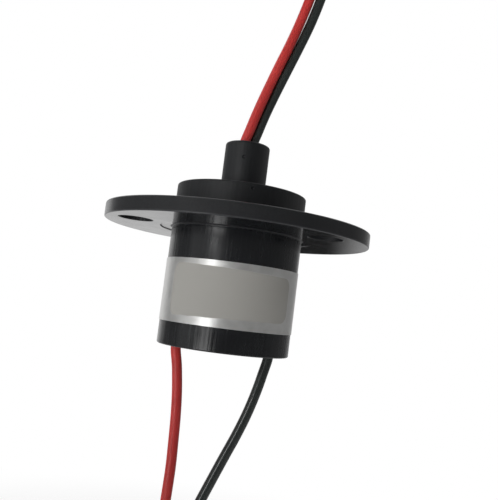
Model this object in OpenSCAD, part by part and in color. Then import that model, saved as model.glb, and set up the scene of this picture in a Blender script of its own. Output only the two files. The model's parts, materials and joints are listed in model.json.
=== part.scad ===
// Two-circuit capsule slip ring with a mounting flange.
// +Z runs along the spin axis towards the rotor stub. The origin is the centre
// of the flange's underside, the face that seats on the machine.

/* [Housing] */
// Diameter of the body below the flange
body_d = 22; // [21.4:0.1:24]
// Length of the body below the flange's underside
body_len = 19.3; // [18.8:0.1:26]
// Wall of the body
housing_wall = 1.2; // [1:0.1:1.5]
// Diameter of the boss above the flange
boss_d = 21.9; // [20:0.1:24]
// Height of the boss above the flange
boss_h = 5; // [4.2:0.1:7]
// Thickness of the boss's top wall
top_wall = 1.5; // [1.1:0.1:2]
// Height of the broken outer edges of the boss and the body
edge_break = 0.25; // [0.1:0.05:0.4]

/* [Flange] */
// Diameter of the flange
flange_d = 44.4; // [42:0.1:50]
// Thickness of the flange
flange_t = 2.3; // [1.8:0.1:4]
// Edge break round the flange's rim
rim_break = 0.2; // [0.1:0.05:0.4]
// Diameter of the circle through the screw holes
hole_pcd = 35; // [34:0.1:37]
// Diameter of a screw hole
hole_d = 5.5; // [3:0.1:6]
// Number of screw holes
hole_count = 3; // [3:1:6]
// Direction of the first screw hole, in degrees from +X
hole_phase = 81; // [0:1:119]
// Width of the shallow relief round the body in the flange's underside
relief_w = 2; // [1:0.1:2.4]
// Depth of that relief
relief_depth = 0.15; // [0.1:0.05:0.6]
// Radius of the fillet between the relief and the body
root_fillet = 0.15; // [0.1:0.05:0.4]

/* [Spindle] */
// Diameter of the rotor stub that leaves the boss
stub_d = 7.6; // [6.6:0.1:7.9]
// Length of the stub above the boss
stub_len = 8.3; // [6:0.1:14]
// Radius round the stub's end
stub_round = 0.4; // [0.2:0.05:0.6]
// Diameter of the core that carries the contact rings
core_d = 8; // [7:0.1:8.6]
// Diameter of the bore for the rotor leads
bore_d = 4.4; // [3.8:0.1:5]
// How far the shoulder under the upper bearing stands out
shoulder_h = 1.1; // [0.8:0.1:1.3]
// Thickness of that shoulder
shoulder_t = 1.2; // [0.8:0.1:1.8]
// Depth of the small moulding marks on the stub and the boss
mark_depth = 0.18; // [0.1:0.02:0.3]

/* [Contact rings] */
// Outer diameter of a contact ring
ring_d = 12.4; // [11.6:0.1:13]
// Width of a contact ring
ring_w = 3; // [2.4:0.1:3.2]
// Depth of the vee groove in a ring
groove_depth = 0.6; // [0.5:0.05:0.9]
// Height of an insulator above the rings
barrier_h = 0.6; // [0.3:0.1:0.8]
// Width of the insulator between the rings
barrier_w = 2; // [1.4:0.1:2.4]
// Width of the insulators at the ends of the stack
end_barrier_w = 1.4; // [1:0.1:1.8]
// Outer diameter of the spacer between the stack and the lower bearing
spacer_d = 6.4; // [5.8:0.1:6.6]

/* [Brushes] */
// Diameter of the brush wire
brush_d = 0.4; // [0.3:0.05:0.5]
// Spacing of a brush's two arms at the board
brush_spread = 4.8; // [4:0.1:5]
// Diameter of the solder bead at each of a brush's corners
bead_d = 0.5; // [0.48:0.02:0.6]
// How far an arm runs past the ring
brush_overrun = 2; // [1:0.1:3]
// Running gap between a brush and its groove
contact_gap = 0.03; // [0.02:0.01:0.05]
// Thickness of a brush board
board_t = 0.7; // [0.5:0.05:0.9]
// Width of a brush board
board_w = 7.6; // [7.2:0.1:8]
// How far a rail laps over a board's edge
rail_lap = 0.5; // [0.3:0.1:0.6]
// Thickness of a rail
rail_t = 0.9; // [0.6:0.1:1]

/* [Upper bearing] */
// Bore
upper_bore = 8; // [7.96:0.01:8.2]
// Outer diameter
upper_od = 16; // [15.6:0.1:16.6]
// Width
upper_w = 4; // [3.8:0.1:4.4]
// Ball diameter
upper_ball_d = 1.588; // [1.5:0.01:1.7]
// Number of balls
upper_ball_count = 11; // [8:1:12]

/* [Lower bearing] */
// Bore
lower_bore = 5; // [4.8:0.1:5.2]
// Outer diameter
lower_od = 10; // [9.8:0.1:10.4]
// Width
lower_w = 4; // [3.8:0.1:4.2]
// Ball diameter
lower_ball_d = 1.5; // [1.4:0.05:1.55]
// Number of balls
lower_ball_count = 9; // [7:1:10]

/* [Bottom cap] */
// Thickness of the cap
cap_t = 1.8; // [1.6:0.1:2.4]
// How far the cap sits inside the body's rim
cap_recess = 0.2; // [0:0.05:0.4]
// Width of the ledge that the cap seats on
cap_ledge = 0.4; // [0.2:0.05:0.6]
// Wall of the cap's bearing boss
cap_boss_wall = 1.5; // [1:0.1:1.6]
// Length of the spindle's end below the lower bearing
end_len = 1.2; // [1.1:0.1:1.3]

/* [Retaining clip] */
// Outer diameter
clip_d = 7.2; // [6.4:0.1:7.6]
// Thickness
clip_t = 0.4; // [0.3:0.05:0.5]
// Depth of its groove in the spindle
clip_groove = 0.4; // [0.3:0.05:0.5]

/* [Label] */
// Height of the foil label
label_h = 10.2; // [8:0.1:12]
// Distance from the flange's underside to the label's upper edge
label_drop = 5.3; // [4:0.1:6.5]
// Thickness of the foil
label_t = 0.1; // [0.06:0.02:0.14]
// Width of the gap between the foil's ends
label_gap = 3; // [1:0.1:6]

/* [Leads] */
// Diameter of a lead over its insulation
lead_d = 1.7; // [1.5:0.05:1.75]
// Diameter of the bare conductor
conductor_d = 0.8; // [0.5:0.05:0.9]
// Length of each lead outside the slip ring
lead_len = 250; // [200:5:300]
// Direction of the rotor's black lead in the bore, in degrees from +X
lead_phase = 36; // [0:1:45]
// Length of the sealing plug in the stub
plug_len = 3; // [2:0.1:4]
// How far the plug sits inside the stub's end
plug_recess = 0.4; // [0.2:0.1:0.8]
// Radius of a lead coil's inner winding, to the middle of the lead
coil_r = 8.6; // [8:0.1:10]
// Distance from one turn to the next along the coil
coil_pitch = 1.8; // [1.75:0.05:2]
// Width of a tie's band
tie_w = 2.5; // [2:0.1:3.5]
// Thickness of a tie's band
tie_t = 0.8; // [0.5:0.1:1]

/* [Fits] */
// Radial gap of parts pressed or bonded together
press_gap = 0.02; // [0.01:0.01:0.03]
// Gap between a ball and its races
ball_gap = 0.02; // [0.01:0.01:0.03]
// Radial gap between parts that turn past each other
turn_gap = 0.3; // [0.2:0.05:0.35]

/* [Hidden] */
$fn = 48;

// radii and heights of the housing
body_r = body_d / 2;
inner_r = body_r - housing_wall;
boss_top = flange_t + boss_h;
stub_top = boss_top + stub_len;
body_bottom = -body_len;
relief_r = body_r + relief_w;
cap_bottom = body_bottom + cap_recess;
cap_top = cap_bottom + cap_t;
cap_seat_r = inner_r + cap_ledge;

// the upper bearing hangs under the top wall, the spindle's shoulder under it
upper_top = boss_top - top_wall;
upper_bottom = upper_top - upper_w;
upper_pitch_r = (upper_bore + upper_od) / 4;
cavity_top = upper_bottom - 0.9;
shoulder_r = upper_bore / 2 + shoulder_h;
journal_r = upper_bore / 2 - press_gap;
neck_top = boss_top + 0.15;
neck_hole_r = journal_r + turn_gap;
wall_relief = 0.25;

// the ring stack hangs under the shoulder
stack_top = upper_bottom - shoulder_t;
ring_1_top = stack_top - end_barrier_w;
ring_1_mid = ring_1_top - ring_w / 2;
barrier_top = ring_1_top - ring_w;
ring_2_top = barrier_top - barrier_w;
ring_2_mid = ring_2_top - ring_w / 2;
end_barrier_top = ring_2_top - ring_w;
stack_bottom = end_barrier_top - end_barrier_w;
stack_bore_r = core_d / 2 + press_gap;
barrier_r = ring_d / 2 + barrier_h;
groove_r = ring_d / 2 - groove_depth;

// the lower bearing sits in the cap's boss, over a pocket for the clip
pocket_floor = 1.2;
lower_bottom = cap_bottom + pocket_floor + end_len + 0.9;
lower_top = lower_bottom + lower_w;
lower_pitch_r = (lower_bore + lower_od) / 4;
lower_journal_r = lower_bore / 2 - press_gap;
cap_boss_r = lower_od / 2 + cap_boss_wall;
pocket_r = lower_pitch_r + 0.7;
spindle_bottom = lower_bottom - end_len;
clip_top = lower_bottom - 0.15;

// the boards stand in rails on the housing's wall
board_out_x = sqrt(pow(inner_r - 0.1, 2) - pow(board_w / 2, 2));
board_x = board_out_x - board_t;
board_top = cavity_top - 0.7;
board_bottom = stack_bottom - 1;

// a brush touches its groove's two flanks, which stand at 45 degrees
brush_track_r = groove_r + (brush_d / 2 + contact_gap) * sqrt(2);
brush_x = board_x - bead_d / 2 - press_gap;
brush_y = brush_spread / 2;
brush_reach = norm([brush_x, brush_y]);
touch_angle = atan2(brush_y, brush_x) + acos(brush_track_r / brush_reach);
touch = brush_track_r * [cos(touch_angle), sin(touch_angle)];
arm_angle = atan2(touch.y - brush_y, touch.x - brush_x);
arm_len = norm(touch - [brush_x, brush_y]) + brush_overrun;

// the leads inside the slip ring
stator_lead_x = board_x - conductor_d / 2 - press_gap;
rotor_lead_r = lead_d / 2 + 0.03;
plug_top = stub_top - plug_recess;
bore_bottom = ring_2_mid - lead_d / 2 - 0.3;

label_r = body_r + 0.01;
body_end_r = body_r - edge_break;

// routes of the free leads, from the exit to the first turn of the coil
rotor_red_route = [
    [-0.71, -0.52, 15.2], [0.02, -0.65, 18.4], [1.02, -0.8, 22], [2.22, -0.95, 25.8],
    [3.56, -1.15, 29.8], [4.97, -1.45, 33.8], [6.29, -1.8, 38], [7.49, -2.3, 42.5],
    [8.35, -2.85, 47], [8.9, -3.3, 52], [9.1, -3.05, 57]
];
rotor_black_route = [
    [0.71, 0.52, 15.2], [1.44, 0.42, 18.4], [2.47, 0.27, 22], [3.75, 0.03, 25.8],
    [5.19, -0.35, 29.8], [6.64, -0.7, 33.8], [8.08, -1.3, 38], [9.3, -2.1, 42.5],
    [10.17, -2.7, 47], [10.68, -3, 52], [10.85, -3.05, 57]
];
stator_red_route = [
    [-7.8, 0, -19.1], [-7.12, -0.1, -23], [-6.56, -0.3, -27], [-6.22, -0.6, -31],
    [-6.04, -0.9, -35], [-5.91, -1.3, -39], [-5.98, -1.7, -43.5], [-6.13, -2.3, -48.5],
    [-6.35, -2.8, -54], [-6.5, -3.05, -59]
];
stator_black_route = [
    [7.8, 0, -19.1], [7.19, -0.1, -22.5], [6.35, -0.3, -26], [5.28, -0.6, -29.5],
    [3.95, -1, -33], [2.44, -1.5, -36.5], [0.97, -2, -40], [-0.49, -2.6, -43.5],
    [-1.88, -3.2, -47], [-3.13, -3.7, -50.5], [-4.1, -3.7, -54], [-4.6, -3.4, -56.6],
    [-4.75, -3.05, -59]
];
// the coils' centres, level with the ends of the routes
rotor_coil_at = [0.5, 0, 57];
stator_coil_at = [3.85, 0, -59];
// the first turn of every coil lies this far in front of its centre
coil_front = 3.05;
outer_coil_r = coil_r + 1.75;

function route_len(route) =
    let (steps = [for (i = [1 : len(route) - 1]) norm(route[i] - route[i - 1])])
    steps * [for (s = steps) 1];
function coil_turns(route, r) =
    (lead_len - route_len(route)) / norm([2 * PI * r, coil_pitch]);
function coil_h(route, r) = coil_turns(route, r) * coil_pitch;

rotor_coil_h = coil_h(rotor_red_route, coil_r);
stator_coil_h = coil_h(stator_black_route, coil_r);

moulding_black = "#232427";
foil = "#b9bab8";
steel = "#a7abb0";
gold = "#d3a93f";
nylon = "#d9d6c8";
board_green = "#1f6b46";
resin = "#2b2a28";
lead_red = "#b04040";
lead_black = "#2b2b2e";

// ---- shared forms ----

// Flat washer or tube between two heights
module ring(r_in, r_out, bottom, top) {
    translate([0, 0, bottom]) difference() {
        cylinder(r = r_out, h = top - bottom);
        translate([0, 0, -1]) cylinder(r = r_in, h = top - bottom + 2);
    }
}

// Solid disc or rod between two heights
module rod(r, bottom, top) {
    translate([0, 0, bottom]) cylinder(r = r, h = top - bottom);
}

// Half the radial gap between a bearing's two rings
function land(ball_d) = 0.55 * ball_d / 2;
rabbet = 0.35;

// Bearing rings, about the middle of the bearing's width; the shield's side is +Z
module race(r_in, r_out, w, pitch_r, ball_d) {
    difference() {
        translate([r_in, -w / 2]) square([r_out - r_in, w]);
        translate([pitch_r, 0]) circle(r = ball_d / 2 + ball_gap);
    }
}

module outer_race(od, w, pitch_r, ball_d) {
    shield_r = pitch_r + land(ball_d) + rabbet;
    rotate_extrude() difference() {
        race(pitch_r + land(ball_d), od / 2, w, pitch_r, ball_d);
        translate([0, w / 2 - rabbet]) square([shield_r, w]);
    }
}

module inner_race(bore, w, pitch_r, ball_d) {
    rotate_extrude() race(bore / 2, pitch_r - land(ball_d), w, pitch_r, ball_d);
}

module ball_row(pitch_r, ball_d, count) {
    for (i = [0.5 : count - 0.5])
        rotate([0, 0, i * 360 / count]) translate([pitch_r, 0, 0]) sphere(d = ball_d);
}

module cage(pitch_r, ball_d, count) {
    half = land(ball_d) - 0.1;
    height = ball_d + 0.75;
    difference() {
        ring(pitch_r - half, pitch_r + half, -height / 2, height / 2);
        for (i = [0.5 : count - 0.5])
            rotate([0, 0, i * 360 / count]) translate([pitch_r - 0.8, 0, 0])
                rotate([0, 90, 0]) cylinder(d = ball_d + 0.08, h = 1.6);
    }
}

module shield(w, pitch_r, ball_d) {
    face = w / 2 - 0.1;
    ring(pitch_r - land(ball_d) + 0.1, pitch_r + land(ball_d) + rabbet - press_gap,
         face - 0.2, face);
}

module at_upper_bearing() {
    translate([0, 0, upper_bottom + upper_w / 2]) children();
}

module at_lower_bearing() {
    translate([0, 0, lower_bottom + lower_w / 2]) rotate([180, 0, 0]) children();
}

// ---- housing ----

// The outer outline of the housing: boss, flange and body, with broken edges
module housing_outline() {
    polygon([
        [0, boss_top],
        [boss_d / 2 - edge_break, boss_top],
        [boss_d / 2, boss_top - edge_break],
        [boss_d / 2, flange_t],
        [flange_d / 2 - rim_break, flange_t],
        [flange_d / 2, flange_t - rim_break],
        [flange_d / 2, rim_break],
        [flange_d / 2 - rim_break, 0],
        [relief_r, 0],
        [relief_r, relief_depth],
        [body_r, relief_depth],
        [body_r, body_bottom + edge_break],
        [body_end_r, body_bottom],
        [0, body_bottom]
    ]);
    difference() {
        translate([body_r - 1, relief_depth - root_fillet])
            square([root_fillet + 1, root_fillet]);
        translate([body_r + root_fillet, relief_depth - root_fillet])
            circle(r = root_fillet);
    }
}

// The stepped hollow: cap seat, cavity, bearing seat, relief and neck hole
module housing_hollow() {
    polygon([
        [0, boss_top + 1],
        [neck_hole_r, boss_top + 1],
        [neck_hole_r, upper_top + wall_relief],
        [upper_pitch_r + 0.8, upper_top + wall_relief],
        [upper_pitch_r + 0.8, upper_top],
        [upper_od / 2 + press_gap, upper_top],
        [upper_od / 2 + press_gap, cavity_top],
        [inner_r, cavity_top],
        [inner_r, cap_top],
        [cap_seat_r, cap_top],
        [cap_seat_r, body_bottom - 1],
        [0, body_bottom - 1]
    ]);
}

// A pair of lips that hold one board's long edges against the wall
module board_rails() {
    intersection() {
        for (side = [-1, 1])
            translate([board_x - 0.05 - rail_t,
                       side > 0 ? board_w / 2 - rail_lap : -inner_r,
                       board_bottom])
                cube([rail_t, inner_r - board_w / 2 + rail_lap, cavity_top - board_bottom]);
        rod(inner_r + housing_wall / 4, board_bottom - 1, cavity_top + 1);
    }
}

module housing() {
    color(moulding_black) difference() {
        union() {
            rotate_extrude() difference() {
                housing_outline();
                housing_hollow();
            }
            for (turn = [0, 180]) rotate([0, 0, turn]) board_rails();
        }
        for (i = [0 : hole_count - 1])
            rotate([0, 0, hole_phase + i * 360 / hole_count])
                translate([hole_pcd / 2, 0, -1]) cylinder(d = hole_d, h = flange_t + 2);
        // moulding mark near the boss's upper edge
        rotate([0, 0, -82]) translate([boss_d / 2 + 0.25 - mark_depth, 0, boss_top - 0.9])
            sphere(r = 0.25);
    }
}

// Cap with the lower bearing's boss, a pocket for the clip and two lead holes
module bottom_cap() {
    color(moulding_black) difference() {
        union() {
            rod(cap_seat_r - press_gap, cap_bottom, cap_top);
            rod(cap_boss_r, cap_bottom, lower_top - 0.2);
        }
        rod(lower_od / 2 + press_gap, lower_bottom, lower_top);
        rod(pocket_r, cap_bottom + pocket_floor, lower_bottom + 1);
        for (side = [-1, 1]) translate([side * stator_lead_x, 0, 0])
            rod(lead_d / 2 + press_gap, cap_bottom - 1, lower_top + 1);
    }
}

module label() {
    gap_angle = label_gap / label_r * 180 / PI;
    color(foil) rotate([0, 0, 90 + gap_angle / 2]) rotate_extrude(angle = 360 - gap_angle)
        translate([label_r, -label_drop - label_h]) square([label_t, label_h]);
}

// ---- rotor ----

// Outline of the spindle, from its lower end to the stub's rounded end
module spindle_outline() {
    polygon([
        [0, spindle_bottom],
        [lower_journal_r - 0.2, spindle_bottom],
        [lower_journal_r, spindle_bottom + 0.2],
        [lower_journal_r, stack_bottom + 0.1],
        [core_d / 2, stack_bottom + 0.1],
        [core_d / 2, stack_top],
        [shoulder_r, stack_top],
        [shoulder_r, upper_bottom],
        [journal_r, upper_bottom],
        [journal_r, neck_top],
        [stub_d / 2, neck_top],
        [stub_d / 2, stub_top - stub_round],
        [stub_d / 2 - stub_round, stub_top - stub_round],
        [stub_d / 2 - stub_round, stub_top],
        [0, stub_top]
    ]);
    translate([stub_d / 2 - stub_round, stub_top - stub_round]) circle(r = stub_round);
}

module spindle() {
    mouth = 0.3;
    color(moulding_black) difference() {
        rotate_extrude() difference() {
            spindle_outline();
            polygon([
                [0, bore_bottom],
                [bore_d / 2, bore_bottom],
                [bore_d / 2, stub_top - mouth],
                [bore_d / 2 + mouth, stub_top],
                [bore_d / 2 + mouth, stub_top + 1],
                [0, stub_top + 1]
            ]);
            translate([lower_journal_r - clip_groove, clip_top - clip_t - 0.02])
                square([clip_groove + 1, clip_t + 0.04]);
        }
        // ports for the two conductors, one to each ring
        rotate([0, 0, lead_phase]) {
            translate([0, 0, ring_2_mid]) rotate([0, 90, 0])
                cylinder(d = conductor_d + 0.4, h = core_d);
            translate([0, 0, ring_1_mid]) rotate([0, -90, 0])
                cylinder(d = conductor_d + 0.4, h = core_d);
        }
        // moulding mark on the stub's side
        rotate([0, 0, -97]) translate([stub_d / 2 + 0.4 - mark_depth, 0, stub_top - 2.85])
            sphere(r = 0.4);
    }
}

module contact_ring(top) {
    half = groove_depth;
    mid = top - ring_w / 2;
    color(gold) rotate_extrude() polygon([
        [stack_bore_r, top - ring_w],
        [ring_d / 2, top - ring_w],
        [ring_d / 2, mid - half],
        [groove_r, mid],
        [ring_d / 2, mid + half],
        [ring_d / 2, top],
        [stack_bore_r, top]
    ]);
}

module contact_ring_1() { contact_ring(ring_1_top); }
module contact_ring_2() { contact_ring(ring_2_top); }

module insulator(top, w) {
    color(nylon) ring(stack_bore_r, barrier_r, top - w, top);
}

module insulator_top() { insulator(stack_top, end_barrier_w); }
module insulator_middle() { insulator(barrier_top, barrier_w); }
module insulator_bottom() { insulator(end_barrier_top, end_barrier_w); }

module spacer() {
    color(steel) ring(lower_bore / 2, spacer_d / 2, lower_top, stack_bottom);
}

module retaining_clip() {
    neck_r = lower_journal_r - clip_groove + press_gap;
    color(steel) difference() {
        ring(neck_r, clip_d / 2, clip_top - clip_t, clip_top);
        translate([0, -0.8 * neck_r, clip_top - clip_t - 1])
            cube([clip_d, 1.6 * neck_r, clip_t + 2]);
    }
}

// Resin that seals the two rotor leads in the stub
module sealing_plug() {
    color(resin) difference() {
        rod(bore_d / 2 - press_gap, plug_top - plug_len, plug_top);
        for (turn = [0, 180]) rotate([0, 0, lead_phase + turn])
            translate([rotor_lead_r, 0, plug_top - plug_len - 1])
                cylinder(r = lead_d / 2 + 2 * press_gap, h = plug_len + 2);
    }
}

// ---- bearings ----

module upper_bearing_outer_ring() {
    color(steel) at_upper_bearing()
        outer_race(upper_od, upper_w, upper_pitch_r, upper_ball_d);
}

module upper_bearing_inner_ring() {
    color(steel) at_upper_bearing()
        inner_race(upper_bore, upper_w, upper_pitch_r, upper_ball_d);
}

module upper_bearing_balls() {
    color(steel) at_upper_bearing()
        ball_row(upper_pitch_r, upper_ball_d, upper_ball_count);
}

module upper_bearing_cage() {
    color(nylon) at_upper_bearing()
        cage(upper_pitch_r, upper_ball_d, upper_ball_count);
}

module upper_bearing_shield() {
    color(steel) at_upper_bearing() shield(upper_w, upper_pitch_r, upper_ball_d);
}

module lower_bearing_outer_ring() {
    color(steel) at_lower_bearing()
        outer_race(lower_od, lower_w, lower_pitch_r, lower_ball_d);
}

module lower_bearing_inner_ring() {
    color(steel) at_lower_bearing()
        inner_race(lower_bore, lower_w, lower_pitch_r, lower_ball_d);
}

module lower_bearing_balls() {
    color(steel) at_lower_bearing()
        ball_row(lower_pitch_r, lower_ball_d, lower_ball_count);
}

module lower_bearing_cage() {
    color(nylon) at_lower_bearing()
        cage(lower_pitch_r, lower_ball_d, lower_ball_count);
}

module lower_bearing_shield() {
    color(steel) at_lower_bearing() shield(lower_w, lower_pitch_r, lower_ball_d);
}

// ---- brushes ----

module brush_board() {
    color(board_green) translate([board_x, -board_w / 2, board_bottom])
        cube([board_t, board_w, board_top - board_bottom]);
}

module brush_board_1() { rotate([0, 0, 180]) brush_board(); }
module brush_board_2() { brush_board(); }

// A hairpin of spring wire: its bridge lies on the board, its arms straddle a ring
module brush(mid) {
    color(gold) translate([0, 0, mid]) {
        translate([brush_x, -brush_y, 0]) rotate([-90, 0, 0])
            cylinder(d = brush_d, h = brush_spread);
        for (side = [0, 1]) mirror([0, side, 0]) translate([brush_x, brush_y, 0]) {
            sphere(d = bead_d);
            rotate([0, 90, arm_angle]) cylinder(d = brush_d, h = arm_len);
        }
    }
}

module brush_1() { rotate([0, 0, 180]) brush(ring_1_mid); }
module brush_2() { brush(ring_2_mid); }

// ---- leads inside the slip ring ----

// Down the bore from the plug, then out through a port to the ring
module rotor_tail(mid) {
    translate([rotor_lead_r, 0, 0]) rod(lead_d / 2, mid - lead_d / 2, plug_top);
    translate([rotor_lead_r, 0, mid]) rotate([0, 90, 0])
        cylinder(d = conductor_d, h = core_d / 2 - rotor_lead_r);
}

module rotor_tail_red() {
    color(lead_red) rotate([0, 0, lead_phase + 180]) rotor_tail(ring_1_mid);
}

module rotor_tail_black() {
    color(lead_black) rotate([0, 0, lead_phase]) rotor_tail(ring_2_mid);
}

// Up from the cap beside its boss, the bared conductor on the board's face
module stator_tail() {
    strip = board_bottom - 0.3;
    translate([stator_lead_x, 0, 0]) {
        rod(lead_d / 2, cap_bottom, strip);
        rod(conductor_d / 2, strip - 0.1, board_bottom + 1.8);
    }
}

module stator_tail_red() { color(lead_red) rotate([0, 0, 180]) stator_tail(); }
module stator_tail_black() { color(lead_black) stator_tail(); }

// ---- free leads ----

function unit(v) = v / norm(v);

// A tube through the route's points, which leaves and arrives along Z
module cord_tube(route) {
    sides = 8;
    last = len(route) - 1;
    way = unit([0, 0, route[last].z - route[0].z]);
    rings = [
        for (i = [0 : last])
            let (
                ahead = i == 0 || i == last ? way : unit(route[i + 1] - route[i - 1]),
                right = unit(cross([0, 1, 0], ahead)),
                up = cross(ahead, right)
            )
            for (k = [0 : sides - 1])
                route[i] + lead_d / 2 * (cos(k * 360 / sides) * right
                                         + sin(k * 360 / sides) * up)
    ];
    walls = [
        for (i = [0 : last - 1], k = [0 : sides - 1])
            let (a = i * sides, next = (k + 1) % sides)
            [a + k, a + sides + k, a + sides + next, a + next]
    ];
    ends = [
        [for (k = [0 : sides - 1]) k],
        [for (k = [sides - 1 : -1 : 0]) last * sides + k]
    ];
    polyhedron(points = rings, faces = concat(walls, ends));
}

module rotor_lead_red() { color(lead_red) cord_tube(rotor_red_route); }
module rotor_lead_black() { color(lead_black) cord_tube(rotor_black_route); }
module stator_lead_red() { color(lead_red) cord_tube(stator_red_route); }
module stator_lead_black() { color(lead_black) cord_tube(stator_black_route); }

// The room that one lead's turns take up, about an axis along Y
module lead_coil(at, r, h) {
    translate([at.x, -coil_front, at.z]) rotate([-90, 0, 0]) rotate_extrude() {
        translate([r - lead_d / 2, 0]) square([lead_d, h]);
        for (end = [0, h]) translate([r, end]) circle(d = lead_d);
    }
}

module rotor_coil_red() {
    color(lead_red) lead_coil(rotor_coil_at, coil_r, rotor_coil_h);
}

module rotor_coil_black() {
    color(lead_black)
        lead_coil(rotor_coil_at, outer_coil_r, coil_h(rotor_black_route, outer_coil_r));
}

module stator_coil_red() {
    color(lead_red)
        lead_coil(stator_coil_at, outer_coil_r, coil_h(stator_red_route, outer_coil_r));
}

module stator_coil_black() {
    color(lead_black) lead_coil(stator_coil_at, coil_r, stator_coil_h);
}

// Rounded rectangle about the origin
module rounded_box(size, r) {
    square([size.x, size.y - 2 * r], center = true);
    square([size.x - 2 * r, size.y], center = true);
    for (i = [-1, 1], j = [-1, 1])
        translate([i * (size.x / 2 - r), j * (size.y / 2 - r)]) circle(r = r);
}

// A cable tie round a coil's turns, at an angle from +X towards +Z; the band is
// straight across its width, so its inner side clears the turns' curve
module tie(at, h, angle) {
    gap = 0.05;
    near = sqrt(pow(coil_r - lead_d / 2, 2) - pow(tie_w / 2, 2)) - gap;
    far = outer_coil_r + lead_d / 2 + gap;
    inner = [far - near, h + lead_d + 2 * gap];
    outer = inner + [2 * tie_t, 2 * tie_t];
    head = [1.6, 3.4, tie_w + 0.8];
    color(lead_black) translate([at.x, h / 2 - coil_front, at.z]) rotate([0, -angle, 0])
        translate([(near + far) / 2, 0, 0]) {
            translate([0, 0, -tie_w / 2]) linear_extrude(tie_w) difference() {
                rounded_box(outer, 1.2);
                rounded_box(inner, 0.6);
            }
            translate([inner.x / 2 + tie_t / 2, -head.y / 2, -head.z / 2]) cube(head);
        }
}

module rotor_tie() { tie(rotor_coil_at, rotor_coil_h, 35); }
module stator_tie() { tie(stator_coil_at, stator_coil_h, 215); }

housing();
bottom_cap();
label();
spindle();
contact_ring_1();
contact_ring_2();
insulator_top();
insulator_middle();
insulator_bottom();
spacer();
retaining_clip();
sealing_plug();
upper_bearing_outer_ring();
upper_bearing_inner_ring();
upper_bearing_balls();
upper_bearing_cage();
upper_bearing_shield();
lower_bearing_outer_ring();
lower_bearing_inner_ring();
lower_bearing_balls();
lower_bearing_cage();
lower_bearing_shield();
brush_board_1();
brush_board_2();
brush_1();
brush_2();
rotor_tail_red();
rotor_tail_black();
stator_tail_red();
stator_tail_black();
rotor_lead_red();
rotor_lead_black();
stator_lead_red();
stator_lead_black();
rotor_coil_red();
rotor_coil_black();
stator_coil_red();
stator_coil_black();
rotor_tie();
stator_tie();
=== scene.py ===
import json
import math

import bmesh
import bpy
from mathutils import Matrix, Vector
from mathutils.geometry import interpolate_bezier


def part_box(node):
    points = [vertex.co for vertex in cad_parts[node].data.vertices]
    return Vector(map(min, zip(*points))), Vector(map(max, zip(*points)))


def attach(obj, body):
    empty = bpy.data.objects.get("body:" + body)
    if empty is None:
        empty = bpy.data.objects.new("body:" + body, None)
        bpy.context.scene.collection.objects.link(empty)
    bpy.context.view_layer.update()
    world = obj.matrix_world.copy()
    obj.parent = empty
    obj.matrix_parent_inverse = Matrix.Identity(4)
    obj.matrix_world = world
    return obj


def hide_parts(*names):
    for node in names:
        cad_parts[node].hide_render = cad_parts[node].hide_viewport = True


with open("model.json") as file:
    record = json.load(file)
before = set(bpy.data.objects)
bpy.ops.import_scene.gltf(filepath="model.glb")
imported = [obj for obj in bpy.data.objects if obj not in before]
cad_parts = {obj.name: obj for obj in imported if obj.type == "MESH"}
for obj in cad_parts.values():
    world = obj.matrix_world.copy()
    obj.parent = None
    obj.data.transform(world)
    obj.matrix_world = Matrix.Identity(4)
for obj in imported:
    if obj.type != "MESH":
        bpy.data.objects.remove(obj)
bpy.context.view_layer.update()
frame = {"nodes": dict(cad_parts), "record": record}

MM = 0.001
nodes = frame["nodes"]

# ---------------------------------------------------------------------------
# Sizes in millimetres; heights count along Z from the flange's underside
# ---------------------------------------------------------------------------

BODY_R = 11
BODY_BOTTOM = -19.3
BOSS_R = 10.95
BOSS_TOP = 7.3
FLANGE_R = 22.2
FLANGE_T = 2.3
# the shallow relief round the body in the flange's underside
RELIEF_R = 13
RELIEF_DEPTH = 0.15
RELIEF_SLOPE = 0.3
SCREW_CIRCLE_R = 17.5
SCREW_HOLE_R = 2.75
# degrees from +X
SCREW_TURNS = (81, 201, 321)

LABEL_IN_R = 11.01
LABEL_T = 0.1
# between the label's ends
LABEL_GAP = 3
# the label's printed panel; its middle is turned from the front by these degrees
PANEL_TURN = 1.6
PANEL_Z = -10.2
PANEL_HALF_W = 10.85
PANEL_HALF_H = 3.85
PANEL_CORNER = 1.5

LEAD_D = 1.7
LEAD_LEN = 250
CONDUCTOR_D = 0.8
BARE_LEN = 5
LEAD_HOLE_R = 0.87
LEAD_HOLE_X = 7.8
COIL_R = 8.6
OUTER_COIL_R = COIL_R + 1.75
COIL_PITCH = 1.8

# ---------------------------------------------------------------------------
# Camera
# ---------------------------------------------------------------------------

EYE = Vector((0, -111.34, -12.14)) * MM
AIM = Vector((2.37, 0, -2.2)) * MM
ROLL = math.radians(7.14)
LENS = 47.5


def place_camera():
    data = bpy.data.cameras.new("camera")
    data.sensor_width = 36
    data.lens = LENS
    data.clip_start = 0.005
    data.clip_end = 20
    camera = bpy.data.objects.new("camera", data)
    bpy.context.scene.collection.objects.link(camera)
    turn = (AIM - EYE).to_track_quat("-Z", "Y").to_matrix()
    roll = Matrix.Rotation(ROLL, 3, "Z")
    camera.matrix_world = Matrix.Translation(EYE) @ (turn @ roll).to_4x4()
    bpy.context.scene.camera = camera


place_camera()

# ---------------------------------------------------------------------------
# Materials
# ---------------------------------------------------------------------------

SMOOTH = {"interpolation_type": "SMOOTHSTEP"}
WHITE = (1, 1, 1, 1)
# noise stays mostly between these two
LOW = 0.3
HIGH = 0.7


def srgb(code):
    """A six-digit hex colour as linear RGBA."""
    channels = [int(code[i:i + 2], 16) / 255 for i in (1, 3, 5)]
    return (*[c / 12.92 if c < 0.04045 else ((c + 0.055) / 1.055) ** 2.4 for c in channels], 1)


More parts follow.
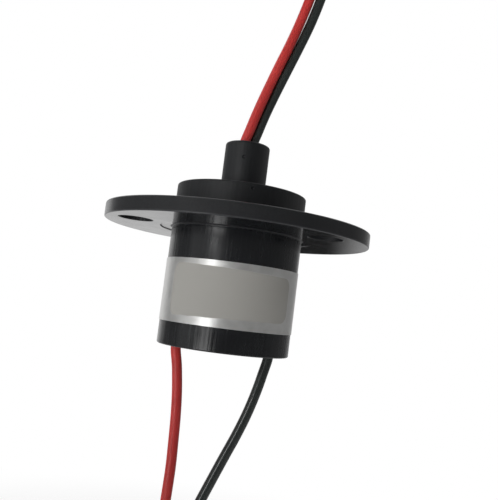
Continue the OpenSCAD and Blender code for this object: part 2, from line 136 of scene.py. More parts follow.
def add(tree, kind, inputs=(), out=0, **settings):
    """Adds a node and gives one of its outputs. The inputs, in order or by name or
    number, are values, or outputs to link from. A Mix node's inputs 2 and 3 are its
    numbers, and 6 and 7 its colours, with the mixed colour in output 2."""
    node = tree.nodes.new("ShaderNode" + kind)
    for key, value in settings.items():
        setattr(node, key, value)
    pairs = inputs.items() if isinstance(inputs, dict) else enumerate(inputs)
    for key, value in pairs:
        if isinstance(value, bpy.types.NodeSocket):
            tree.links.new(value, node.inputs[key])
        else:
            node.inputs[key].default_value = value
    return node.outputs[out] if len(node.outputs) else None


def new_material(name):
    """An empty material, its tree, and each point's place in millimetres."""
    material = bpy.data.materials.new(name)
    material.use_nodes = True
    tree = material.node_tree
    tree.nodes.clear()
    metres = add(tree, "TexCoord", out="Object")
    position = add(tree, "VectorMath", [metres, (1000, 1000, 1000)], operation="MULTIPLY")
    return material, tree, position


def glass_filled_nylon(name):
    """Glass-filled nylon, injection moulded in black. The mould was polished for the
    body and the flange's underside and left dull for the rest, so the body mirrors the
    room softly and the rim and boss look matte."""
    material, tree, position = new_material(name)
    z = add(tree, "SeparateXYZ", [position], "Z")
    across = add(tree, "VectorMath", [position, (1, 1, 0)], operation="MULTIPLY")
    radius = add(tree, "VectorMath", [across], "Value", operation="LENGTH")
    # fibre flow in clouds about 4 mm across, and the mould's grain, which is finer in
    # truth and is drawn 0.25 mm across so that it shows
    cloud = add(tree, "TexNoise", {"Vector": position, "Scale": 1 / 4, "Detail": 3})
    grain = add(tree, "TexNoise", {"Vector": position, "Scale": 1 / 0.25, "Detail": 2})
    # draw marks 0.5 mm wide, drawn out 25 times along the axis
    drawn = add(tree, "VectorMath", [position, (1, 1, 0.04)], operation="MULTIPLY")
    streak = add(tree, "TexNoise", {"Vector": drawn, "Scale": 1 / 0.5, "Detail": 3})

    # where the polished faces are: the flat underside and the relief in it
    height = add(tree, "Math", [z], operation="ABSOLUTE")
    flat = add(tree, "MapRange", [height, 0.01, 0.03, 1, 0], **SMOOTH)
    in_relief = add(tree, "MapRange", [radius, RELIEF_R + 0.05, RELIEF_R + 0.15, 1, 0], **SMOOTH)
    low = add(tree, "MapRange", [z, RELIEF_DEPTH + 0.05, RELIEF_DEPTH + 0.15, 1, 0], **SMOOTH)
    relief = add(tree, "Math", [in_relief, low], operation="MULTIPLY")
    face = add(tree, "Math", [flat, relief], operation="MAXIMUM")
    off_wall = add(tree, "MapRange", [radius, BODY_R + 0.15, BODY_R + 0.4, 0, 1], **SMOOTH)
    underside = add(tree, "Math", [face, off_wall], operation="MULTIPLY")
    # the rim, and the band of 0.2 mm where its edges are rounded
    rim = add(tree, "MapRange", [radius, FLANGE_R - 0.35, FLANGE_R - 0.2, 0, 1], **SMOOTH)
    middle = FLANGE_T / 2
    from_middle = add(tree, "Math", [z, middle], operation="SUBTRACT")
    from_middle = add(tree, "Math", [from_middle], operation="ABSOLUTE")
    at_edge = add(tree, "MapRange", [from_middle, middle - 0.23, middle - 0.13, 0, 1], **SMOOTH)
    edge = add(tree, "Math", [rim, at_edge], operation="MULTIPLY")

    # black with a faint cloud; handling has rubbed the rim lighter in a grain, and its rounded
    # edges carry a painted highlight, a light grey standing in for their glint
    blotch = add(tree, "Math", [cloud, streak], operation="ADD")
    blotch = add(tree, "MapRange", [blotch, 0.7, 1.3, 0, 1], **SMOOTH)
    colour = add(tree, "Mix", {0: blotch, 6: srgb("#121418"), 7: srgb("#1c1e21")}, 2,
                 data_type="RGBA")
    rubbed = add(tree, "MapRange", [grain, 0.35, 0.7, 0.3, 1], **SMOOTH)
    rubbed = add(tree, "Math", [rim, rubbed], operation="MULTIPLY")
    colour = add(tree, "Mix", {0: rubbed, 6: colour, 7: srgb("#212225")}, 2, data_type="RGBA")
    # painted highlight: the rim's rounded edges are painted light grey in place of the glint
    # along them
    colour = add(tree, "Mix", {0: edge, 6: colour, 7: srgb("#3c3d40")}, 2, data_type="RGBA")

    # dull above the flange's underside and smooth below it, a little uneven
    below = add(tree, "MapRange", [z, -0.4, 0.5, 1, 0], **SMOOTH)
    rough = add(tree, "MapRange", [below, 0, 1, 0.56, 0.2], **SMOOTH)
    uneven = add(tree, "MapRange", [cloud, LOW, HIGH, -0.03, 0.03], **SMOOTH)
    rough = add(tree, "Math", [rough, uneven], operation="ADD")
    scored = add(tree, "MapRange", [streak, 0.35, 0.65, -0.05, 0.07], **SMOOTH)
    scored = add(tree, "Math", [below, scored], operation="MULTIPLY")
    rough = add(tree, "Math", [rough, scored], operation="ADD")
    # the rim looks glossier where it is seen at a low angle
    facing = add(tree, "LayerWeight", out="Facing")
    gloss = add(tree, "MapRange", [facing, 0.5, 0.8, -0.12, 0.33], **SMOOTH)
    gloss = add(tree, "Math", [rim, gloss], operation="MULTIPLY")
    rough = add(tree, "Math", [rough, gloss], operation="SUBTRACT")
    rough = add(tree, "Mix", {0: edge, 2: rough, 3: 0.25})
    polished = add(tree, "MapRange", [cloud, LOW, HIGH, 0.12, 0.17], **SMOOTH)
    rough = add(tree, "Mix", {0: underside, 2: rough, 3: polished})

    # the draw marks stand out on the body's wall only, and the polished faces have
    # hardly any grain
    on_wall = add(tree, "MapRange", [radius, BODY_R + 0.05, BODY_R + 0.15, 20, 0], **SMOOTH)
    marks = add(tree, "Math", [streak, on_wall], operation="MULTIPLY")
    dull = add(tree, "MapRange", [underside, 0, 1, 1, 0.1], **SMOOTH)
    texture = add(tree, "Math", [grain, dull], operation="MULTIPLY")
    texture = add(tree, "Math", [texture, marks], operation="ADD")
    bump = add(tree, "Bump", {"Height": texture, "Distance": 0.012 * MM, "Strength": 0.2})
    add(tree, "OutputMaterial", [add(tree, "BsdfPrincipled", {
        "Base Color": colour, "Roughness": rough, "IOR": 1.53, "Normal": bump})])
    return material


def small_plastic(name, colour, roughness, grain_mm=0.3):
    """Nylon, laminate or epoxy of a small piece: an even satin with faint clouds about
    3 mm across and a fine grain, which is drawn as coarse as it needs to show."""
    material, tree, position = new_material(name)
    cloud = add(tree, "TexNoise", {"Vector": position, "Scale": 1 / 3, "Detail": 3})
    grain = add(tree, "TexNoise", {"Vector": position, "Scale": 1 / grain_mm, "Detail": 2})
    dark = srgb(colour)
    light = [min(1, c * 1.25) for c in dark[:3]] + [1]
    share = add(tree, "MapRange", [cloud, 0.35, 0.65, 0, 1], **SMOOTH)
    tint = add(tree, "Mix", {0: share, 6: dark, 7: light}, 2, data_type="RGBA")
    rough = add(tree, "MapRange", [cloud, LOW, HIGH, roughness - 0.04, roughness + 0.05],
                **SMOOTH)
    bump = add(tree, "Bump", {"Height": grain, "Distance": 0.012 * MM, "Strength": 0.4})
    add(tree, "OutputMaterial", [add(tree, "BsdfPrincipled", {
        "Base Color": tint, "Roughness": rough, "IOR": 1.48, "Normal": bump})])
    return material


def silver_polyester(name):
    """Silver polyester label stock, vacuum metallised: a soft mirror with a fine
    grain, and a plain printed panel in matt warm grey that leaves silver margins."""
    material, tree, position = new_material(name)
    x, y, z = add(tree, "SeparateXYZ", [position]).node.outputs
    # millimetres round the label and up from the panel's middle
    forward = add(tree, "Math", [y, -1], operation="MULTIPLY")
    angle = add(tree, "Math", [x, forward], operation="ARCTAN2")
    angle = add(tree, "Math", [angle, math.radians(PANEL_TURN)], operation="SUBTRACT")
    along = add(tree, "Math", [angle, LABEL_IN_R + LABEL_T], operation="MULTIPLY")
    up = add(tree, "Math", [z, PANEL_Z], operation="SUBTRACT")
    # distance outside a rounded rectangle, which is printed a little out of square,
    # narrower at its right end, with an edge that wavers by about 0.1 mm
    wide = add(tree, "Math", [along], operation="ABSOLUTE")
    wide = add(tree, "Math", [wide, PANEL_CORNER - PANEL_HALF_W], operation="ADD")
    wide = add(tree, "Math", [wide, 0], operation="MAXIMUM")
    high = add(tree, "Math", [up], operation="ABSOLUTE")
    high = add(tree, "Math", [along, 0.03, high], operation="MULTIPLY_ADD")
    high = add(tree, "Math", [high, PANEL_CORNER - PANEL_HALF_H], operation="ADD")
    high = add(tree, "Math", [high, 0], operation="MAXIMUM")
    past_corner = add(tree, "CombineXYZ", [wide, high])
    far = add(tree, "VectorMath", [past_corner], "Value", operation="LENGTH")
    waver = add(tree, "TexNoise", {"Vector": position, "Scale": 1 / 2.5, "Detail": 2})
    waver = add(tree, "Math", [waver, 0.3, -0.15], operation="MULTIPLY_ADD")
    far = add(tree, "Math", [far, waver], operation="ADD")
    panel = add(tree, "MapRange", [far, PANEL_CORNER - 0.04, PANEL_CORNER + 0.04, 1, 0],
                **SMOOTH)

    # the foil's faint clouds, 1.5 mm across, and its grain, drawn at 0.2 mm so that it
    # shows; the ink lies a little proud
    cloud = add(tree, "TexNoise", {"Vector": position, "Scale": 1 / 1.5, "Detail": 4})
    grain = add(tree, "TexNoise", {"Vector": position, "Scale": 1 / 0.2, "Detail": 2})
    share = add(tree, "MapRange", [cloud, LOW, HIGH, 0, 1], **SMOOTH)
    silver = add(tree, "Mix", {0: share, 6: srgb("#dcdcda"), 7: srgb("#e6e6e4")}, 2,
                 data_type="RGBA")
    colour = add(tree, "Mix", {0: panel, 6: silver, 7: srgb("#c6c4be")}, 2, data_type="RGBA")
    metallic = add(tree, "Mix", {0: panel, 2: 0.7, 3: 0})
    foil_rough = add(tree, "MapRange", [cloud, LOW, HIGH, 0.3, 0.36], **SMOOTH)
    rough = add(tree, "Mix", {0: panel, 2: foil_rough, 3: 0.75})
    ink = add(tree, "Math", [panel, 0.6, grain], operation="MULTIPLY_ADD")
    bump = add(tree, "Bump", {"Height": ink, "Distance": 0.01 * MM, "Strength": 0.08})
    add(tree, "OutputMaterial", [add(tree, "BsdfPrincipled", {
        "Base Color": colour, "Metallic": metallic, "Roughness": rough, "Normal": bump})])
    return material


def pvc_insulation(name, light, deep, roughness):
    """Soft PVC, extruded over stranded wire: satin, with a slight waviness where the
    strands' lay shows through every 1.2 mm."""
    material, tree, position = new_material(name)
    cloud = add(tree, "TexNoise", {"Vector": position, "Scale": 1 / 5, "Detail": 2})
    wave = add(tree, "TexNoise", {"Vector": position, "Scale": 1 / 1.2, "Detail": 1})
    share = add(tree, "MapRange", [cloud, LOW, HIGH, 0, 1], **SMOOTH)
    colour = add(tree, "Mix", {0: share, 6: srgb(deep), 7: srgb(light)}, 2, data_type="RGBA")
    rough = add(tree, "MapRange", [cloud, LOW, HIGH, roughness - 0.05, roughness + 0.05],
                **SMOOTH)
    bump = add(tree, "Bump", {"Height": wave, "Distance": 0.04 * MM, "Strength": 0.35})
    add(tree, "OutputMaterial", [add(tree, "BsdfPrincipled", {
        "Base Color": colour, "Roughness": rough, "IOR": 1.53, "Normal": bump})])
    return material


def metal(name, colour, roughness, grain_mm):
    """A ground, plated or drawn metal, whose grain breaks up the gloss. It is finer in
    truth and is drawn as coarse as it needs to show."""
    material, tree, position = new_material(name)
    grain = add(tree, "TexNoise", {"Vector": position, "Scale": 1 / grain_mm, "Detail": 3})
    bright = srgb(colour)
    dull = [c * 0.8 for c in bright[:3]] + [1]
    share = add(tree, "MapRange", [grain, LOW, HIGH, 0, 1], **SMOOTH)
    tint = add(tree, "Mix", {0: share, 6: dull, 7: bright}, 2, data_type="RGBA")
    rough = add(tree, "MapRange", [grain, LOW, HIGH, roughness, roughness + 0.12], **SMOOTH)
    bump = add(tree, "Bump", {"Height": grain, "Distance": 0.004 * MM, "Strength": 0.5})
    add(tree, "OutputMaterial", [add(tree, "BsdfPrincipled", {
        "Base Color": tint, "Metallic": 1, "Roughness": rough, "Normal": bump})])
    return material


nylon_black = glass_filled_nylon("moulded_glass_filled_nylon_black")
label_foil = silver_polyester("silver_polyester_label")
# bright red and near black, the black one with more gloss
pvc_red = pvc_insulation("extruded_pvc_red", "#e8423f", "#dc3a37", 0.42)
pvc_black = pvc_insulation("extruded_pvc_black", "#363c3a", "#303533", 0.16)
# strands dipped in tin: a dull, slightly warm silver
tinned_copper = metal("tinned_copper_strands", "#b9b5ac", 0.3, 0.2)
# ground rings, balls and shields: a cool grey mirror
bearing_steel = metal("ground_bearing_steel", "#a9adb1", 0.18, 0.15)
# gold over brass: a warm yellow mirror
contact_gold = metal("gold_plated_contact", "#d3a94a", 0.2, 0.1)
# undyed nylon of cages, insulators and spacer: an ivory satin
nylon_white = small_plastic("moulded_nylon_natural", "#d9d6c8", 0.45)
# the brush boards: deep green with the glass weave's grain
laminate_green = small_plastic("epoxy_glass_laminate_green", "#1f6b46", 0.35, 0.4)
# the plug: poured and cured, so it is smooth with a wide, flat grain
epoxy_black = small_plastic("cast_epoxy_black", "#141416", 0.2, 1.2)
tie_nylon = small_plastic("moulded_nylon_tie_black", "#1e1e20", 0.4)

# ---------------------------------------------------------------------------
# Leads: free cords from the stub and from the body's lower end
# ---------------------------------------------------------------------------

COIL_STEP = math.radians(15)

# the routes of part.scad, in millimetres, from the exit to the coil's first turn
ROTOR_RED = [
    (-0.71, -0.52, 15.2), (0.02, -0.65, 18.4), (1.02, -0.8, 22), (2.22, -0.95, 25.8),
    (3.56, -1.15, 29.8), (4.97, -1.45, 33.8), (6.29, -1.8, 38), (7.49, -2.3, 42.5),
    (8.35, -2.85, 47), (8.9, -3.3, 52), (9.1, -3.05, 57),
]
ROTOR_BLACK = [
    (0.71, 0.52, 15.2), (1.44, 0.42, 18.4), (2.47, 0.27, 22), (3.75, 0.03, 25.8),
    (5.19, -0.35, 29.8), (6.64, -0.7, 33.8), (8.08, -1.3, 38), (9.3, -2.1, 42.5),
    (10.17, -2.7, 47), (10.68, -3, 52), (10.85, -3.05, 57),
]
STATOR_RED = [
    (-7.8, 0, -19.1), (-7.12, -0.1, -23), (-6.56, -0.3, -27), (-6.22, -0.6, -31),
    (-6.04, -0.9, -35), (-5.91, -1.3, -39), (-5.98, -1.7, -43.5), (-6.13, -2.3, -48.5),
    (-6.35, -2.8, -54), (-6.5, -3.05, -59),
]
STATOR_BLACK = [
    (7.8, 0, -19.1), (7.19, -0.1, -22.5), (6.35, -0.3, -26), (5.28, -0.6, -29.5),
    (3.95, -1, -33), (2.44, -1.5, -36.5), (0.97, -2, -40), (-0.49, -2.6, -43.5),
    (-1.88, -3.2, -47), (-3.13, -3.7, -50.5), (-4.1, -3.7, -54), (-4.6, -3.4, -56.6),
    (-4.75, -3.05, -59),
]
# where the axes of the two pairs' coils stand along X
ROTOR_COIL_X = 0.5
STATOR_COIL_X = 3.85


def line_length(line):
    return sum((end - start).length for start, end in zip(line, line[1:]))


def lead_line(route, coil_x, coil_r):
    """The lead's centreline: a smooth line through the route, then the coil's turns
    about an axis along Y, up to the lead's full length."""
    points = [Vector(p) for p in route]
    way = Vector((0, 0, 1 if points[-1].z > points[0].z else -1))
    line = [points[0]]
    for i, (start, end) in enumerate(zip(points, points[1:])):
        reach = (end - start).length
        leave = way * reach if i == 0 else (end - points[i - 1]) / 2
        arrive = way * reach if i + 2 == len(points) else (points[i + 2] - start) / 2
        line += interpolate_bezier(start, start + leave / 3, end - arrive / 3, end, 4)[1:]
    first = line[-1]
    start_angle = 0 if first.x > coil_x else math.pi
    rise = COIL_PITCH / (2 * math.pi)
    coil_angle = (LEAD_LEN - line_length(line)) / math.hypot(coil_r, rise)
    for i in range(1, math.ceil(coil_angle / COIL_STEP) + 1):
        angle = min(i * COIL_STEP, coil_angle)
        line.append(Vector((coil_x + coil_r * math.cos(start_angle + angle),
                            first.y + rise * angle,
                            first.z + coil_r * math.sin(start_angle + angle))))
    return line


def tube(name, line, diameter, material):
    """A round cord along a line of points given in millimetres."""
    data = bpy.data.curves.new(name, "CURVE")
    data.dimensions = "3D"
    data.bevel_depth = diameter / 2 * MM
    data.bevel_resolution = 5
    data.resolution_u = 3
    data.use_fill_caps = True
    spline = data.splines.new("BEZIER")
    spline.bezier_points.add(len(line) - 1)
    for knot, point in zip(spline.bezier_points, line):
        knot.co = point * MM
        knot.handle_left_type = knot.handle_right_type = "AUTO"
    data.materials.append(material)
    piece = bpy.data.objects.new(name, data)
    bpy.context.scene.collection.objects.link(piece)
    return piece


def free_lead(side, colour, route, coil_x, coil_r, material):
    """One lead of the rotor's or the stator's pair, with its bared end."""
    name = f"{side}_lead_{colour}"
    line = lead_line(route, coil_x, coil_r)
    # the last few points belong to the bared conductor
    bare = 1
    while line_length(line[-bare - 1:]) < BARE_LEN:
        bare += 1
    jacket = tube(name + "_jacket", line[:-bare], LEAD_D, material)
    end = tube(name + "_bare_end", line[-bare - 1:], CONDUCTOR_D, tinned_copper)
    for piece, slot in ((jacket, "lead_" + colour), (end, "bearing_steel")):
        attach(piece, side)
    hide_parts(name, f"{side}_coil_{colour}")


free_lead("rotor", "red", ROTOR_RED, ROTOR_COIL_X, COIL_R, pvc_red)
free_lead("rotor", "black", ROTOR_BLACK, ROTOR_COIL_X, OUTER_COIL_R, pvc_black)
free_lead("stator", "red", STATOR_RED, STATOR_COIL_X, OUTER_COIL_R, pvc_red)
free_lead("stator", "black", STATOR_BLACK, STATOR_COIL_X, COIL_R, pvc_black)

# ---------------------------------------------------------------------------
# Turned and moulded pieces
# ---------------------------------------------------------------------------

# faces round a turned piece, a hole and the label
PIECE_STEPS = 192
HOLE_STEPS = 64
LABEL_STEPS = 186
# vertices closer than this, in metres, are one
WELD = 1e-7
# a corner is found within this, in millimetres
NEAR = 0.001
# edges that turn more than this stay sharp
SHARP = math.radians(32)


def spun(outline, soft=(), steps=PIECE_STEPS):
    """A bmesh spun about Z from an outline of (radius, height) in millimetres. An
    outline that starts and ends on the axis stays open there, any other is closed.
    soft lists (radius, height, bevel) of the corners that are rounded."""
    bm = bmesh.new()
    corners = [bm.verts.new((r * MM, 0, z * MM)) for r, z in outline]
    pairs = list(zip(corners, corners[1:]))
    if outline[0][0] or outline[-1][0]:
        pairs.append((corners[-1], corners[0]))
    edges = [bm.edges.new(pair) for pair in pairs]
    bmesh.ops.spin(bm, geom=corners + edges, cent=(0, 0, 0), axis=(0, 0, 1), dvec=(0, 0, 0),
                   angle=2 * math.pi, steps=steps, use_merge=True)
    bmesh.ops.remove_doubles(bm, verts=bm.verts, dist=WELD)
    bmesh.ops.recalc_face_normals(bm, faces=bm.faces)
    for r, z, offset in soft:
        ring = [e for e in bm.edges if all(
            abs(v.co.z / MM - z) < NEAR and abs(math.hypot(v.co.x, v.co.y) / MM - r) < NEAR
            for v in e.verts)]
        bmesh.ops.bevel(bm, geom=ring, offset=offset * MM, offset_type="OFFSET", segments=4,
                        profile=0.5, affect="EDGES", clamp_overlap=True, material=-1)
    return bm


def hole(radius, bottom, top, flare):
    """A rod that cuts a hole between two heights and breaks its edges at both ends."""
    over = 1
    return spun([(0, bottom - over), (radius + flare + over, bottom - over),
                 (radius, bottom + flare), (radius, top - flare),
                 (radius + flare + over, top + over), (0, top + over)], steps=HOLE_STEPS)


def ball(radius):
    bm = bmesh.new()
    bmesh.ops.create_icosphere(bm, subdivisions=4, radius=radius * MM)
    return bm


def block(low, high):
    """A box between two corners in millimetres."""
    bm = bmesh.new()
    bmesh.ops.create_cube(bm, size=1)
    size = Vector(high) - Vector(low)
    bmesh.ops.scale(bm, verts=bm.verts, vec=size * MM)
    bmesh.ops.translate(bm, verts=bm.verts, vec=(Vector(low) + size / 2) * MM)
    return bm


def moved(bm, offset, turn=0.0):
    """Shifts a shape by millimetres, then turns it about Z by degrees."""
    bmesh.ops.translate(bm, verts=bm.verts, vec=Vector(offset) * MM)
    bmesh.ops.rotate(bm, verts=bm.verts, cent=(0, 0, 0),
                     matrix=Matrix.Rotation(math.radians(turn), 3, "Z"))
    return bm


def link_mesh(bm, name):
    """Puts a bmesh into the scene as an object."""
    mesh = bpy.data.meshes.new(name)
    bm.to_mesh(mesh)
    bm.free()
    made = bpy.data.objects.new(name, mesh)
    bpy.context.scene.collection.objects.link(made)
    return made


def finish_piece(name, bm, material, body, replaced, cuts=(), joined=()):
    """Makes the object, cuts and joins the other shapes, and shades it."""
    piece = link_mesh(bm, name)
    for kind, shapes in (("DIFFERENCE", cuts), ("UNION", joined)):
        for shape in shapes:
            tool = link_mesh(shape, name + "_tool")
            boolean = piece.modifiers.new("cut", "BOOLEAN")
            boolean.operation = kind
            boolean.solver = "EXACT"
            boolean.object = tool
            done = bpy.data.meshes.new_from_object(
                piece.evaluated_get(bpy.context.evaluated_depsgraph_get()))
            piece.modifiers.clear()
            piece.data = done
            bpy.data.objects.remove(tool)
    piece.data.name = name
    piece.data.materials.clear()
    piece.data.materials.append(material)
    piece.data.shade_smooth()
    piece.data.set_sharp_from_angle(angle=SHARP)
    weighted = piece.modifiers.new("even_shading", "WEIGHTED_NORMAL")
    weighted.keep_sharp = True
    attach(piece, body)
    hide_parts(*replaced)


def build_housing():
    """Boss, flange and body in one, with the screw holes, a moulding mark on the boss
    and the four rails that hold the brush boards."""
    neck_r = 4.28
    cap_seat_r, cap_top = 10.2, -17.3
    cavity_r, cavity_top = 9.8, 0.9
    bearing_r, bearing_top = 8.02, 5.8
    recess_r, recess_top = 6.8, 6.05
    edge_break, rim_break, fine_break, seat_break, relief_break = 0.25, 0.2, 0.12, 0.1, 0.05
    root_fillet = 0.15
    shell = spun(
        [(neck_r, BOSS_TOP), (BOSS_R, BOSS_TOP), (BOSS_R, FLANGE_T), (FLANGE_R, FLANGE_T),
         (FLANGE_R, 0), (RELIEF_R, 0), (RELIEF_R - RELIEF_SLOPE, RELIEF_DEPTH),
         (BODY_R, RELIEF_DEPTH), (BODY_R, BODY_BOTTOM), (cap_seat_r, BODY_BOTTOM),
         (cap_seat_r, cap_top), (cavity_r, cap_top), (cavity_r, cavity_top),
         (bearing_r, cavity_top), (bearing_r, bearing_top), (recess_r, bearing_top),
         (recess_r, recess_top), (neck_r, recess_top)],
        soft=[(BOSS_R, BOSS_TOP, edge_break), (neck_r, BOSS_TOP, fine_break),
              (BOSS_R, FLANGE_T, fine_break), (FLANGE_R, FLANGE_T, rim_break),
              (FLANGE_R, 0, rim_break), (RELIEF_R, 0, relief_break),
              (BODY_R, RELIEF_DEPTH, root_fillet), (BODY_R, BODY_BOTTOM, edge_break),
              (cap_seat_r, BODY_BOTTOM, seat_break)])
    screw_holes = [moved(hole(SCREW_HOLE_R, 0, FLANGE_T, flare=0.1), (SCREW_CIRCLE_R, 0, 0), turn)
                   for turn in SCREW_TURNS]
    mark = moved(ball(radius=0.25), (11.02, 0, 6.4), turn=-82)
    rail_t, rail_w, rail_bottom = 0.9, 2.6, -11.2
    rails = [block((x, y, rail_bottom), (x + rail_t, y + rail_w, cavity_top))
             for x, y in ((7.3, 3.3), (7.3, -5.9), (-8.2, 3.3), (-8.2, -5.9))]
    finish_piece("housing_moulding", shell, nylon_black, "stator", ["housing"],
                 cuts=screw_holes + [mark], joined=rails)


def build_cap():
    """The disc that closes the body, with the lower bearing's seat and two lead holes."""
    disc_r, bottom, top = 10.18, -19.1, -17.3
    boss_r, boss_top = 6.5, -12
    bearing_r, bearing_bottom = 5.02, -15.8
    pocket_r, pocket_bottom = 4.45, -17.9
    disc = spun([(0, bottom), (disc_r, bottom), (disc_r, top), (boss_r, top),
                 (boss_r, boss_top), (bearing_r, boss_top), (bearing_r, bearing_bottom),
                 (pocket_r, bearing_bottom), (pocket_r, pocket_bottom), (0, pocket_bottom)],
                soft=[(disc_r, bottom, 0.1), (boss_r, boss_top, 0.15)])
    lead_holes = [moved(hole(LEAD_HOLE_R, bottom, top, flare=0.08), (side * LEAD_HOLE_X, 0, 0))
                  for side in (-1, 1)]
    finish_piece("bottom_cap_moulding", disc, nylon_black, "stator",
                 ["bottom_cap"], cuts=lead_holes)


def build_spindle():
    """The stub that turns in the boss, its bearing lands, the core for the contact
    rings, the clip's groove and the bore, with a moulding mark on the stub."""
    low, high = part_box("spindle")
    top, bottom = high.z / MM, low.z / MM
    bore_r, bore_bottom, mouth = 2.2, -8.95, 0.3
    stub_r = 3.8
    land_r, land_top = 3.98, 7.45
    shoulder_r, shoulder_top, shoulder_bottom = 5.1, 1.8, 0.6
    core_r, core_bottom = 4, -10.1
    journal_r = 2.48
    groove_r, groove_top, groove_bottom = 2.08, -15.93, -16.37
    turned = spun(
        [(0, bore_bottom), (bore_r, bore_bottom), (bore_r, top - mouth),
         (bore_r + mouth, top), (stub_r, top), (stub_r, land_top), (land_r, land_top),
         (land_r, shoulder_top), (shoulder_r, shoulder_top), (shoulder_r, shoulder_bottom),
         (core_r, shoulder_bottom), (core_r, core_bottom), (journal_r, core_bottom),
         (journal_r, groove_top), (groove_r, groove_top), (groove_r, groove_bottom),
         (journal_r, groove_bottom), (journal_r, bottom), (0, bottom)],
        soft=[(stub_r, top, 0.4), (bore_r + mouth, top, 0.08), (journal_r, bottom, 0.2)])
    mark = moved(ball(radius=0.4), (4.02, 0, 12.75), turn=-97)
    finish_piece("spindle_moulding", turned, nylon_black, "rotor", ["spindle"],
                 cuts=[mark])


build_housing()
build_cap()
build_spindle()

# ---------------------------------------------------------------------------
# Label: one strip of foil round the body, its ends apart at the back
# ---------------------------------------------------------------------------


def build_label():
    low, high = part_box("label")
    outer_r = LABEL_IN_R + LABEL_T
    gap = LABEL_GAP / LABEL_IN_R
    bm = bmesh.new()
    corners = [bm.verts.new((r * MM, 0, z)) for r, z in
               ((LABEL_IN_R, low.z), (outer_r, low.z), (outer_r, high.z), (LABEL_IN_R, high.z))]
    end = bm.faces.new(corners)
    start = math.radians(90) + gap / 2
    bmesh.ops.rotate(bm, verts=bm.verts, cent=(0, 0, 0), matrix=Matrix.Rotation(start, 3, "Z"))
    bmesh.ops.spin(bm, geom=[end] + end.edges[:] + end.verts[:], cent=(0, 0, 0),
                   axis=(0, 0, 1), dvec=(0, 0, 0), angle=2 * math.pi - gap, steps=LABEL_STEPS)
    bmesh.ops.remove_doubles(bm, verts=bm.verts, dist=WELD)
    bmesh.ops.recalc_face_normals(bm, faces=bm.faces)
    finish_piece("foil_label", bm, label_foil, "stator", ["label"])


build_label()

# ---------------------------------------------------------------------------
# CAD pieces that keep their shape
# ---------------------------------------------------------------------------

FINISH = {
    "contact_gold": contact_gold,
    "bearing_steel": bearing_steel,
    "nylon": nylon_white,
    "board": laminate_green,
    "resin": epoxy_black,
    "lead_red": pvc_red,
    "lead_black": pvc_black,
    "tie": tie_nylon,
    "moulding": nylon_black,
    "foil": label_foil,
}
for part in frame["record"]["subparts"]:
    mesh = nodes[part["node"]].data
    mesh.materials.clear()
    mesh.materials.append(FINISH[part["material_slot"]])

# ---------------------------------------------------------------------------
# Floor, backdrop and light
# ---------------------------------------------------------------------------

FLOOR_Z = -85
FLOOR_R = 250
# the floor keeps the object's shadow inside the first radius and is plain white
# outside the second
SHADOW_R = 110
WHITE_R = 170


def build_floor():
    """A round sheet of white paper under the object."""
    bm = bmesh.new()
    bmesh.ops.create_circle(bm, cap_ends=True, segments=96, radius=FLOOR_R * MM)
    bmesh.ops.translate(bm, verts=bm.verts, vec=(0, 0, FLOOR_Z * MM))
    floor = link_mesh(bm, "floor")
    material, tree, position = new_material("white_paper_floor")
    seen = add(tree, "LightPath", out="Is Camera Ray")
    paper = add(tree, "BsdfDiffuse", {"Color": srgb("#e6e6e6")})
    lift = add(tree, "Math", [seen, 0.5], operation="MULTIPLY")
    lift = add(tree, "Emission", {"Color": WHITE, "Strength": lift})
    near = add(tree, "AddShader", [paper, lift])
    plain = add(tree, "Emission", {"Color": WHITE, "Strength": 1})
    reach = add(tree, "VectorMath", [position], "Value", operation="LENGTH")
    away = add(tree, "MapRange", [reach, math.hypot(SHADOW_R, FLOOR_Z),
                                  math.hypot(WHITE_R, FLOOR_Z), 0, 1], **SMOOTH)
    away = add(tree, "Math", [seen, away], operation="MULTIPLY")
    add(tree, "OutputMaterial", [add(tree, "MixShader", [away, near, plain])])
    floor.data.materials.append(material)


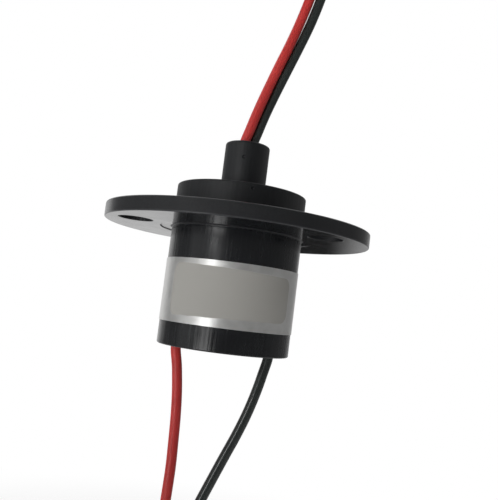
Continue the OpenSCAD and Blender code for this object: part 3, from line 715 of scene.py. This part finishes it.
def light_world():
    """White to the eye. What the pieces are lit by and mirror is a dim studio, with
    its brightness given by direction: x to the right, y to the back, z up."""
    world = bpy.data.worlds.new("studio")
    bpy.context.scene.world = world
    world.use_nodes = True
    tree = world.node_tree
    tree.nodes.clear()
    direction = add(tree, "TexCoord", out="Generated")
    x, y, z = add(tree, "SeparateXYZ", [direction]).node.outputs

    # a grey room, with a lighter wall in front at the far left
    front = add(tree, "MapRange", [x, -0.8, -0.7, 0.58, 0.18], **SMOOTH)
    share = add(tree, "MapRange", [y, -0.2, 0, 0, 1], **SMOOTH)
    room = add(tree, "Mix", {0: share, 2: front, 3: 0.22})
    # behind, a bright card at the left and a fading one at the right, black between
    left = add(tree, "MapRange", [x, -0.1, -0.04, 0.84, 0.02], **SMOOTH)
    right = add(tree, "MapRange", [x, 0.135, 0.22, 0, 0.6], **SMOOTH)
    fading = add(tree, "MapRange", [x, 0.3, 0.7, 1, 0.3], **SMOOTH)
    right = add(tree, "Math", [right, fading], operation="MULTIPLY")
    cards = add(tree, "Math", [left, right], operation="ADD")
    share = add(tree, "MapRange", [y, 0.55, 0.75, 0, 1], **SMOOTH)
    room = add(tree, "Mix", {0: share, 2: room, 3: cards})
    # a ceiling that is bright at the back only
    ceiling = add(tree, "MapRange", [y, -0.1, 0.1, 0.05, 1], **SMOOTH)
    share = add(tree, "MapRange", [z, 0.3, 0.45, 0, 1], **SMOOTH)
    room = add(tree, "Mix", {0: share, 2: room, 3: ceiling})
    # a small bright card low in front, 35 degrees round to the left
    forward = add(tree, "Math", [y, -1], operation="MULTIPLY")
    azimuth = add(tree, "Math", [x, forward], operation="ARCTAN2")
    beside = add(tree, "Math", [azimuth, math.radians(35)], operation="ADD")
    beside = add(tree, "Math", [beside], operation="ABSOLUTE")
    width = add(tree, "MapRange", [beside, math.radians(9), math.radians(14), 1, 0], **SMOOTH)
    height = add(tree, "MapRange", [z, -0.12, -0.06, 1, 0], **SMOOTH)
    share = add(tree, "Math", [width, height], operation="MULTIPLY")
    room = add(tree, "Mix", {0: share, 2: room, 3: 7.4})

    seen = add(tree, "LightPath", out="Is Camera Ray")
    strength = add(tree, "Mix", {0: seen, 2: room, 3: 1})
    add(tree, "OutputWorld", [add(tree, "Background", {"Color": WHITE, "Strength": strength})])


def softbox(name, azimuth, elevation, distance, width, height, radiance):
    """An area lamp that faces the body; azimuth counts from the front to the right."""
    data = bpy.data.lights.new(name, "AREA")
    data.shape = "RECTANGLE"
    data.size = width
    data.size_y = height
    data.energy = radiance * math.pi * width * height
    lamp = bpy.data.objects.new(name, data)
    bpy.context.scene.collection.objects.link(lamp)
    a = math.radians(azimuth)
    e = math.radians(elevation)
    offset = Vector((math.sin(a) * math.cos(e), -math.cos(a) * math.cos(e), math.sin(e)))
    lamp.location = offset * distance
    lamp.rotation_euler = offset.to_track_quat("Z", "Y").to_euler()


build_floor()
light_world()
softbox("key", azimuth=-31, elevation=3.5, distance=0.4, width=0.17, height=0.135, radiance=0.5)
softbox("lamp", azimuth=-37, elevation=12.5, distance=0.4, width=0.08, height=0.07, radiance=7)
bpy.context.scene.view_settings.view_transform = "Standard"
